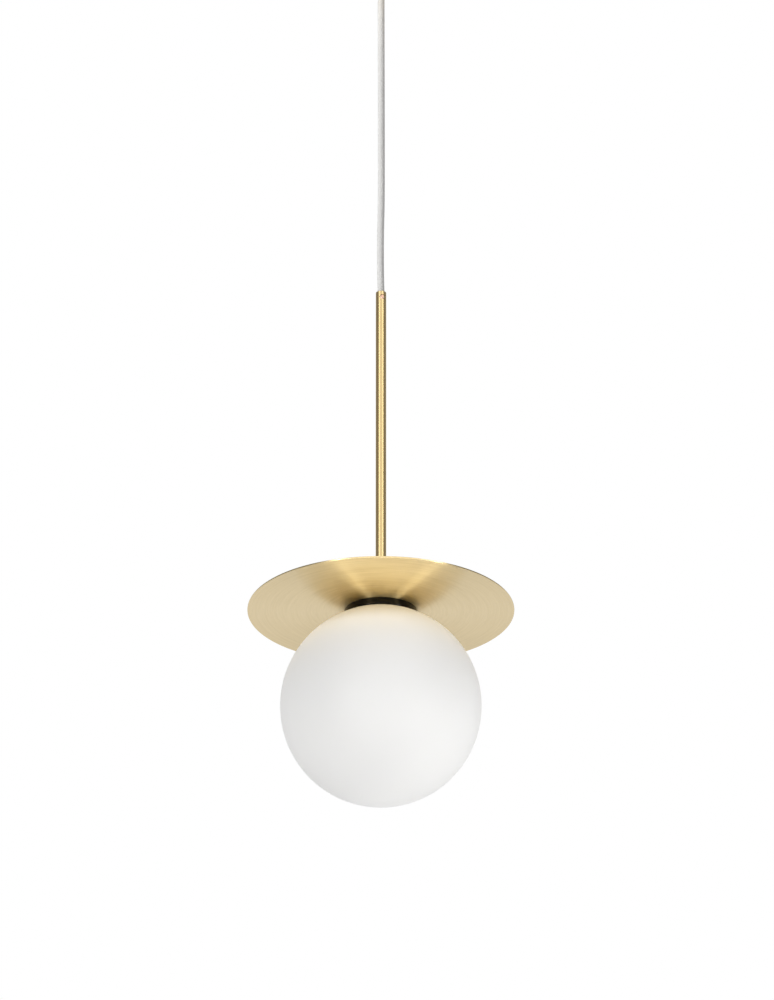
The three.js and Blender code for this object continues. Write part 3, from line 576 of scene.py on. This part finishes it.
def make_held_cords(braid):
    """The tail in the grip and the cup, and the length in the stem, which is braided finely only
    near the stem's mouth."""
    upper = levels(FRONT_SWING_PIVOT, CORD_TAIL_TOP, BRAID_STEP)
    tail = braided_cord("ceiling_cord_tail", upper, True, False)
    place(tail, "ceiling", braid, "cord_tail")
    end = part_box("cord_in_stem")[0].z
    fine = STEM_TOP - FINE_DEPTH
    hidden = levels(end, fine, HIDDEN_STEP) + levels(fine, STEM_TOP, BRAID_STEP)[1:]
    inner = braided_cord("stem_cord", hidden, False, False)
    place(inner, "pendant", braid, "cord_in_stem")


# ---- Disc, stem and set screws ----
def rounded_ring(inner, outer, bottom, top, edge):
    """Outline of a flat ring with rounded outer edges and sharp inner ones."""
    corner = (edge, edge)
    return [
        (inner, bottom), (inner + edge, bottom),
        *arc((outer - edge, bottom + edge), corner, -90, 0, 5),
        *arc((outer - edge, top - edge), corner, 0, 90, 5),
        (inner + edge, top), (inner, top),
    ]


def make_disc(brass):
    outline = rounded_ring(STEM_HOLE_RADIUS, DISC_RADIUS, DISC_UNDERSIDE, DISC_TOP, 0.25 * MM)
    place(shade(revolve("brass_disc", outline, 256)), "pendant", brass, "disc")


def set_screw_hole(reach, height):
    """A cutter from the axis outwards, where a set screw sits."""
    return move(rod("hole", SET_SCREW_RADIUS, 0, reach, 48), aimed(height))


def make_stem(brass):
    edge = 0.3 * MM
    chamfer = 0.1 * MM
    bottom = STEM_LOW.z
    outline = [
        (STEM_BORE_RADIUS, bottom), (STEM_RADIUS, bottom),
        *arc((STEM_RADIUS - edge, STEM_TOP - edge), (edge, edge), 0, 90, 5),
        (STEM_BORE_RADIUS + chamfer, STEM_TOP), (STEM_BORE_RADIUS, STEM_TOP - chamfer),
    ]
    tube = revolve("brass_stem", outline, 96)
    hole = set_screw_hole(6 * MM, STEM_TOP - SET_SCREW_DROP)
    place(shade(cut_with(tube, hole)), "pendant", brass, "stem")


def set_screw(name, body_radius, height, body, material, node):
    """A headless socket screw, chamfered, flush with a round surface. Its outline starts at the tip,
    by the cord, and its outer face is slightly dished."""
    tip = CORD_RADIUS + 0.15 * MM
    tip_edge = 0.1 * MM
    outer = body_radius - 0.05 * MM
    radius = SET_SCREW_RADIUS - 0.12 * MM
    chamfer = 0.4 * MM
    socket_across_flats = 1.6 * MM
    socket_floor = tip + 0.4 * MM
    outline = [
        (0, tip), (radius - tip_edge, tip), (radius, tip + tip_edge), (radius, outer - chamfer),
        (radius - chamfer, outer), (1.2 * MM, outer), (1.1 * MM, outer - 0.1 * MM), (0, outer - 0.12 * MM),
    ]
    screw = revolve(name, outline, 48)
    socket = prism("socket", socket_across_flats, socket_floor, outer + MM)
    screw = move(shade(cut_with(screw, socket)), aimed(height))
    place(screw, body, material, node)


NUT_RADIUS = 7 * MM
NUT_FLUTES = 48
NUT_FLUTE_DEPTH = 0.12 * MM


def make_disc_nut(brass):
    """A round nut, fluted about its middle, with a rounded top edge."""
    low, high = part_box("disc_nut")
    edge = 0.6 * MM
    chamfer = 0.2 * MM
    flute_bottom = low.z + 0.6 * MM
    flute_top = high.z - 1.2 * MM

    def flutes(radius, height, angle):
        fluted = flute_bottom < height < flute_top
        return -NUT_FLUTE_DEPTH * abs(math.sin(angle * NUT_FLUTES / 2)) if fluted else 0

    outline = [
        (STEM_HOLE_RADIUS, low.z), (NUT_RADIUS - chamfer, low.z), (NUT_RADIUS, low.z + chamfer),
        *[(NUT_RADIUS, z) for z in levels(low.z + 0.5 * MM, high.z - MM, 0.4 * MM)],
        *arc((NUT_RADIUS - edge, high.z - edge), (edge, edge), 0, 90, 5), (STEM_HOLE_RADIUS, high.z),
    ]
    nut = revolve("round_disc_nut", outline, 192, flutes)
    place(shade(nut), "pendant", brass, "disc_nut")


# ---- Holder cap, gasket and globe ----
def thread(bottom, top, wall, side):
    """Right-handed round thread, raised outwards (side 1) or inwards (side -1) from a wall, and
    fading out over a quarter turn's height at both ends."""
    fade = THREAD_PITCH / 4
    tolerance = 0.001 * MM

    def raised(radius, height, angle):
        depth = min(height - bottom, top - height)
        if depth <= 0 or abs(radius - wall) > tolerance:
            return 0
        turn = 2 * math.pi * (height - GLASS_LIP) / THREAD_PITCH - angle
        return min(1, depth / fade) * THREAD_DEPTH * (math.cos(turn) + side) / 2

    return raised


def crown_height(radius):
    """Height of the globe's outside at a radius, above its widest level."""
    return GLOBE_CENTRE + GLOBE_HALF_HEIGHT * math.sqrt(1 - (radius / GLOBE_RADIUS) ** 2)


def make_holder_cap(black):
    """The black cap flares from under the disc to an apron over the globe's crown, and its threaded
    skirt holds the globe."""
    top = CAP_HIGH.z
    bottom = CAP_LOW.z
    flange = bottom + SKIRT_LENGTH
    edge = 0.5 * MM
    rim = 0.3 * MM
    inner = SKIRT_RADIUS - SKIRT_WALL
    thread_top = flange - 0.8 * MM
    lip_share = (GLASS_LIP - GLOBE_CENTRE) / GLOBE_HALF_HEIGHT
    lip_radius = GLOBE_RADIUS * math.sqrt(1 - lip_share ** 2)
    bead_radius = CAP_RADIUS - edge
    bead = (bead_radius, crown_height(bead_radius) + APRON_CLEARANCE + edge)
    apron = [(r, crown_height(r) + APRON_CLEARANCE) for r in levels(lip_radius, bead_radius, MM)]
    wall = [(SKIRT_RADIUS, z) for z in levels(bottom, thread_top, THREAD_PITCH / 16)]
    outline = [
        (inner, bottom), *wall, (SKIRT_RADIUS, flange), (lip_radius, flange), *apron,
        *arc(bead, (edge, edge), -60, 35, 8),
        *arc((CAP_TOP_RADIUS - rim, top - rim), (rim, rim), 35, 90, 4),
        (STEM_HOLE_RADIUS, top), (STEM_HOLE_RADIUS, flange), (inner, flange),
    ]
    cap = revolve("black_holder_cap", outline, 160, thread(bottom, thread_top, SKIRT_RADIUS, 1))
    place(shade(cap, 40), "pendant", black, "holder_cap")


def make_gasket(rubber):
    low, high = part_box("glass_gasket")
    edge = 0.2 * MM
    outline = rounded_ring(GLASS_MOUTH_RADIUS - edge, GASKET_RADIUS, low.z, high.z, edge)
    place(shade(revolve("rubber_gasket", outline, 96)), "gasket", rubber, "glass_gasket")


def make_globe(glass):
    """An opal globe: its crown is ground flat for the gasket, and a threaded neck hangs down inside."""
    centre = (0, GLOBE_CENTRE)
    outer = (GLOBE_RADIUS, GLOBE_HALF_HEIGHT)
    inner = (GLOBE_RADIUS - GLASS_THICKNESS, GLOBE_HALF_HEIGHT - GLASS_THICKNESS)
    neck = GLASS_MOUTH_RADIUS + GLASS_THICKNESS
    neck_bottom = GLASS_LIP - SKIRT_LENGTH
    lip_angle = math.degrees(math.asin((GLASS_LIP - GLOBE_CENTRE) / GLOBE_HALF_HEIGHT))
    neck_angle = math.degrees(math.acos(neck / inner[0]))
    outside = arc(centre, outer, -90, lip_angle, 96)
    inside = arc(centre, inner, neck_angle, -90, 48)
    wall = [(GLASS_MOUTH_RADIUS, z) for z in levels(GLASS_LIP, neck_bottom, THREAD_PITCH / 12)]
    outside[0] = (0, outside[0][1])
    inside[-1] = (0, inside[-1][1])
    raised = thread(neck_bottom, GLASS_LIP, GLASS_MOUTH_RADIUS, -1)
    globe = revolve("opal_globe", [*outside, *wall, (neck, neck_bottom), *inside], 192, raised)
    place(shade(globe, 40), "glass", glass, "globe")


# ---- Ceiling fitting ----
SIDE_SCREW_HEIGHT = -7 * MM
SIDE_HOLE_RADIUS = 2.2 * MM
SIDE_SCREW_GAP = 0.15 * MM


def make_cup(brass):
    radius = CUP_HIGH.x
    wall = MM
    bend = 8 * MM
    bottom = CUP_LOW.z
    top = CUP_HIGH.z
    bore = GRIP_RADIUS - 1.2 * MM
    reach = radius + 5 * MM
    centre = (radius - bend, bottom + bend)
    lip = wall / 2
    outline = [
        (bore, bottom), *arc(centre, (bend, bend), -90, 0, 16),
        *arc((radius - lip, top - lip), (lip, lip), 0, 180, 8),
        *arc(centre, (bend - wall, bend - wall), 0, -90, 16), (bore, bottom + wall),
    ]
    cup = revolve("brass_ceiling_cup", outline, 192)
    hole = rod("hole", SIDE_HOLE_RADIUS, -reach, reach, 32)
    move(hole, Matrix.Translation((0, 0, SIDE_SCREW_HEIGHT)) @ Matrix.Rotation(math.pi / 2, 4, "Y"))
    place(shade(cut_with(cup, hole)), "ceiling", brass, "ceiling_cup")


def make_grip(brass):
    """The cord grip: a sleeve with a flared mouth, a flange under the cup and a neck into it."""
    mouth = GRIP_LOW.z
    top = GRIP_HIGH.z
    shoulder = CUP_LOW.z - 0.15 * MM
    flange_bottom = shoulder - 2 * MM
    edge = MM
    flare = 0.8 * MM
    rim = 0.3 * MM
    flange = GRIP_RADIUS + 2 * MM
    neck = GRIP_RADIUS - 1.5 * MM
    outline = [
        *arc((GRIP_BORE_RADIUS + flare + rim, mouth + rim), (rim, rim), -150, -90, 3),
        *arc((GRIP_RADIUS - edge, mouth + edge), (edge, edge), -90, 0, 6),
        (GRIP_RADIUS, flange_bottom - rim), (GRIP_RADIUS + rim, flange_bottom),
        *arc((flange - rim, flange_bottom + rim), (rim, rim), -90, 0, 4),
        *arc((flange - rim, shoulder - rim), (rim, rim), 0, 90, 4), (neck, shoulder), (neck, top),
        (GRIP_BORE_RADIUS, top), (GRIP_BORE_RADIUS, mouth + flare),
    ]
    grip = revolve("brass_cord_grip", outline, 96)
    hole = set_screw_hole(9 * MM, mouth + SET_SCREW_DROP)
    place(shade(cut_with(grip, hole)), "ceiling", brass, "grip_body")


def pan_screw(name, shank, head, height, length):
    """A pan-head screw with a slot, its head down and its head's underside at height 0."""
    under_head = 0.02 * MM
    point = 0.3 * MM
    pan = arc((0, 0), (head, -height), 90, 0, 8)
    pan[0] = (0, pan[0][1])
    outline = [*pan, (shank, under_head), (shank, length - point), (shank - point, length), (0, length)]
    screw = revolve(name, outline, 48)
    half_width = head * 0.11
    past_head = head * 1.2
    slot_floor = -height * 0.45
    slot = block("slot", (-past_head, -half_width, -height * 2), (past_head, half_width, slot_floor))
    return shade(cut_with(screw, slot))


def make_cup_screws(brass):
    """The two screws that hold the cup to its strap, one at each side."""
    for side, name in ((-1, "left"), (1, "right")):
        screw = pan_screw(
            f"cup_side_screw_{name}", shank=1.9 * MM, head=3.6 * MM, height=2.4 * MM, length=9 * MM
        )
        turn = Matrix.Rotation(-side * math.pi / 2, 4, "Y")
        offset = Matrix.Translation((side * (CUP_HIGH.x + SIDE_SCREW_GAP), 0, SIDE_SCREW_HEIGHT))
        place(move(screw, offset @ turn), "ceiling", brass, f"cup_screw_{name}")


# ---- Materials of the CAD pieces that stay ----
def dress_frame(finishes):
    """Gives each CAD node that is still shown the material of its slot."""
    slots = {entry["node"]: entry["material_slot"] for entry in frame["record"]["subparts"]}
    for name, node in frame["nodes"].items():
        if node.hide_render:
            continue
        for material_slot in node.material_slots:
            material_slot.link = "OBJECT"
            material_slot.material = finishes[slots[name]]


# ---- Studio ----
# The world as each kind of ray sees it. A stop says how far a direction lies along the axis, and how
# bright it is there. Reflections show the walls and the glow, and matt surfaces get the fill.
REFLECTED_AXIS = (0, 0.86, -0.51)
REFLECTED_STOPS = ((-1.0, 0.95), (-0.76, 0.95), (-0.66, 0.24), (0.30, 0.24), (0.45, 0.78), (1.0, 0.84))
GLOW_AXIS = (0, -0.7, -0.7)
GLOW_STOPS = ((-1.0, 0), (0.65, 0), (0.85, 1.9), (1.0, 1.9))
FILL_AXIS = (0, 0, 1)
FILL_STOPS = ((-1.0, 0.88), (-0.5, 0.85), (0.0, 0.38), (0.15, 0.15), (1.0, 0.12))

# Soft boxes that show only in reflections: azimuth in degrees to the right of the front, elevation
# in degrees, width in metres and power in watts.
STRIP_DISTANCE = 2.6
STRIP_HEIGHT = 1.6
STRIPS = (
    ("box_left", -35, 25, 0.5, 3.7),
    ("box_right", 42, 25, 0.6, 4.4),
    ("streak_left", -36, -20, 0.22, 18),
    ("streak_right", 50, -20, 0.22, 24),
)

# Square soft boxes that light the matt pieces they name and nothing else, in the same units.
GLOBE_PIECES = ("opal_globe",)
CORD_PIECES = ("hanging_cord", "ceiling_cord_tail", "stem_cord")
KEY_DISTANCE = 3.0
KEYS = (
    ("globe_low", 50, -30, 2.0, 23, GLOBE_PIECES),
    ("cord_key", -50, 35, 1.2, 58, CORD_PIECES),
    ("globe_left", -54, 20, 1.2, 40, GLOBE_PIECES),
    ("globe_right", 55, 15, 1.2, 28, GLOBE_PIECES),
    ("globe_back", 180, 10, 1.5, 24, GLOBE_PIECES),
)

FLOOR_HALF = 12
FLOOR_HEIGHT = -5
FLOOR_LIGHT_SPREAD = math.radians(30)


def direction_ramp(tree, axis, stops):
    """A grey that depends on how far a direction lies along an axis, from -1 to 1, for the world."""
    direction = tree.nodes.new("ShaderNodeTexCoord")
    along = tree.nodes.new("ShaderNodeVectorMath")
    along.operation = "DOT_PRODUCT"
    along.inputs[1].default_value = Vector(axis).normalized()
    tree.links.new(direction.outputs["Generated"], along.inputs[0])
    share = tree.nodes.new("ShaderNodeMapRange")
    share.inputs["From Min"].default_value = -1
    share.inputs["From Max"].default_value = 1
    tree.links.new(along.outputs["Value"], share.inputs["Value"])
    ramp = tree.nodes.new("ShaderNodeValToRGB")
    while len(ramp.color_ramp.elements) < len(stops):
        ramp.color_ramp.elements.new(0.5)
    for element, (position, value) in zip(ramp.color_ramp.elements, stops):
        element.position = (position + 1) / 2
        element.color = (value, value, value, 1)
    tree.links.new(share.outputs["Result"], ramp.inputs["Fac"])
    background = tree.nodes.new("ShaderNodeBackground")
    tree.links.new(ramp.outputs["Color"], background.inputs["Color"])
    return background.outputs["Background"]


def choose(tree, ray, otherwise, then):
    """Picks one of two backgrounds by whether the ray is of a kind."""
    mix = tree.nodes.new("ShaderNodeMixShader")
    tree.links.new(ray, mix.inputs["Fac"])
    tree.links.new(otherwise, mix.inputs[1])
    tree.links.new(then, mix.inputs[2])
    return mix.outputs["Shader"]


def make_world():
    """White surroundings for the camera. Metal reflects bright walls, high in front and low behind,
    with a darker band between them, and a glow from low in front. Matt surfaces are lit mostly from
    below, as by a white floor."""
    world = bpy.data.worlds.new("studio")
    bpy.context.scene.world = world
    world.use_nodes = True
    tree = world.node_tree
    tree.nodes.clear()
    rays = tree.nodes.new("ShaderNodeLightPath").outputs
    plain = tree.nodes.new("ShaderNodeBackground")
    plain.inputs["Color"].default_value = (1, 1, 1, 1)
    reflected = tree.nodes.new("ShaderNodeAddShader")
    tree.links.new(direction_ramp(tree, REFLECTED_AXIS, REFLECTED_STOPS), reflected.inputs[0])
    tree.links.new(direction_ramp(tree, GLOW_AXIS, GLOW_STOPS), reflected.inputs[1])
    fill = direction_ramp(tree, FILL_AXIS, FILL_STOPS)
    lighting = choose(tree, rays["Is Glossy Ray"], fill, reflected.outputs["Shader"])
    seen = choose(tree, rays["Is Camera Ray"], lighting, plain.outputs["Background"])
    output = tree.nodes.new("ShaderNodeOutputWorld")
    tree.links.new(seen, output.inputs["Surface"])


def soft_light(name, azimuth, elevation, distance, size, power):
    """A soft box that faces the lamp, unseen by the camera."""
    data = bpy.data.lights.new(name, "AREA")
    data.shape = "RECTANGLE"
    data.size, data.size_y = size
    data.energy = power
    light = link(bpy.data.objects.new(name, data))
    turn, rise = math.radians(azimuth), math.radians(elevation)
    away = Vector((math.sin(turn) * math.cos(rise), -math.cos(turn) * math.cos(rise), math.sin(rise)))
    light.location = Vector((0, 0, DISC_UNDERSIDE)) + distance * away
    light.rotation_euler = (-away).to_track_quat("-Z", "Y").to_euler()
    light.visible_camera = False
    return light


def light_only(light, names):
    """Keeps a light for some pieces, as flags and cutters do in a studio."""
    lit = bpy.data.collections.new(light.name + "_lit")
    for name in names:
        lit.objects.link(bpy.data.objects[name])
    light.light_linking.receiver_collection = lit


def make_lights():
    for name, azimuth, elevation, width, power in STRIPS:
        light = soft_light(name, azimuth, elevation, STRIP_DISTANCE, (width, STRIP_HEIGHT), power)
        light.visible_diffuse = False
    for name, azimuth, elevation, width, power, pieces in KEYS:
        light = soft_light(name, azimuth, elevation, KEY_DISTANCE, (width, width), power)
        light.visible_glossy = False
        light_only(light, pieces)
    overhead = bpy.data.lights.new("overhead", "SUN")
    overhead.energy = math.pi
    overhead.angle = FLOOR_LIGHT_SPREAD
    light_only(link(bpy.data.objects.new("overhead", overhead)), ("floor",))


def make_floor():
    """A pale floor far below, seen only by the camera."""
    shader = Shader("pale_floor", (0.86, 0.86, 0.86), Roughness=0.9)
    shader.color(shader.noise(shader.coords, 0.6), (0.84, 0.84, 0.84), (0.88, 0.88, 0.88))
    signs = ((-1, -1), (1, -1), (1, 1), (-1, 1))
    corners = [(x * FLOOR_HALF, y * FLOOR_HALF, FLOOR_HEIGHT) for x, y in signs]
    floor = mesh_object("floor", corners, [(0, 1, 2, 3)])
    floor.data.materials.append(shader.material)
    floor.visible_diffuse = False
    floor.visible_glossy = False
    floor.visible_shadow = False


def make_studio():
    bpy.context.scene.view_settings.view_transform = "Standard"
    make_world()
    make_floor()
    make_lights()


# ---- Build ----
make_camera()
finishes = {
    "satin_brass": tube_brass(),
    "screw_brass": screw_brass(),
    "zinc_steel": zinc_steel(),
    "opal_glass": opal_glass(),
    "frosted_cover": frosted_cover(),
    "black_cap": gloss_black(),
    "gasket_rubber": gasket_rubber(),
    "white_braid": white_braid(),
    "holder_ceramic": ceramic(),
    "white_plastic": white_plastic(),
    "brown_insulation": insulation("brown_insulation", (0.10, 0.035, 0.015), (0.16, 0.06, 0.025)),
    "blue_insulation": insulation("blue_insulation", (0.015, 0.07, 0.28), (0.03, 0.11, 0.38)),
    "green_insulation": insulation("green_insulation", (0.10, 0.28, 0.03), (0.55, 0.52, 0.05)),
}
make_hanging_cord(finishes["white_braid"])
make_held_cords(finishes["white_braid"])
make_disc(disc_brass())
make_stem(finishes["satin_brass"])
screw_metal = finishes["screw_brass"]
set_screw("stem_set_screw", STEM_RADIUS, STEM_TOP - SET_SCREW_DROP, "pendant", screw_metal, "stem_screw")
set_screw("grip_set_screw", GRIP_RADIUS, GRIP_LOW.z + SET_SCREW_DROP, "ceiling", screw_metal, "grip_screw")
make_disc_nut(finishes["satin_brass"])
make_holder_cap(finishes["black_cap"])
make_gasket(finishes["gasket_rubber"])
make_globe(finishes["opal_glass"])
make_cup(finishes["satin_brass"])
make_grip(finishes["satin_brass"])
make_cup_screws(screw_metal)
dress_frame(finishes)
make_studio()
